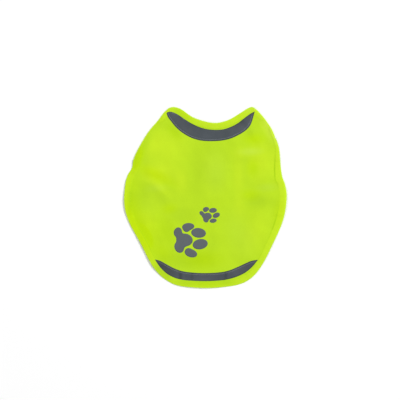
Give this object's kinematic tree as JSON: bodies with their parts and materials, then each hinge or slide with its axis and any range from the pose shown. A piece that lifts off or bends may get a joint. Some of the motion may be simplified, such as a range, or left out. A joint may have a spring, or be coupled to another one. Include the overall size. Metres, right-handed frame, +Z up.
{
  "type": "dog safety vest",
  "caption": "Fluorescent dog safety vest laid flat, with a concave neck, chest flaps and belly straps folded under, and reflective crescents at neck and tail.",
  "frame": {"origin": "centre of the vest's outline, on the surface it lies on", "axes": "+Z up out of the cloth, +Y from the tail to the neck, +X to the right of the picture"},
  "size_m": [0.2935, 0.3269, 0.0058],
  "materials": {
    "fluorescent_cloth": "fluorescent yellow-green knitted polyester, matt",
    "reflective_tape": "dark grey retroreflective fabric tape",
    "reflective_print": "grey retroreflective print",
    "hook_and_loop": "hook and loop pile tape"
  },
  "bodies": {
    "root": {"back_panel": "fluorescent_cloth", "belly_strap_left": "fluorescent_cloth", "belly_strap_right": "fluorescent_cloth", "neck_tape": "reflective_tape", "tail_tape": "reflective_tape", "chest_hook_patch": "hook_and_loop", "chest_loop_patch": "hook_and_loop", "belly_hook_patch": "hook_and_loop", "belly_loop_patch": "hook_and_loop"}
  },
  "joints": []
}
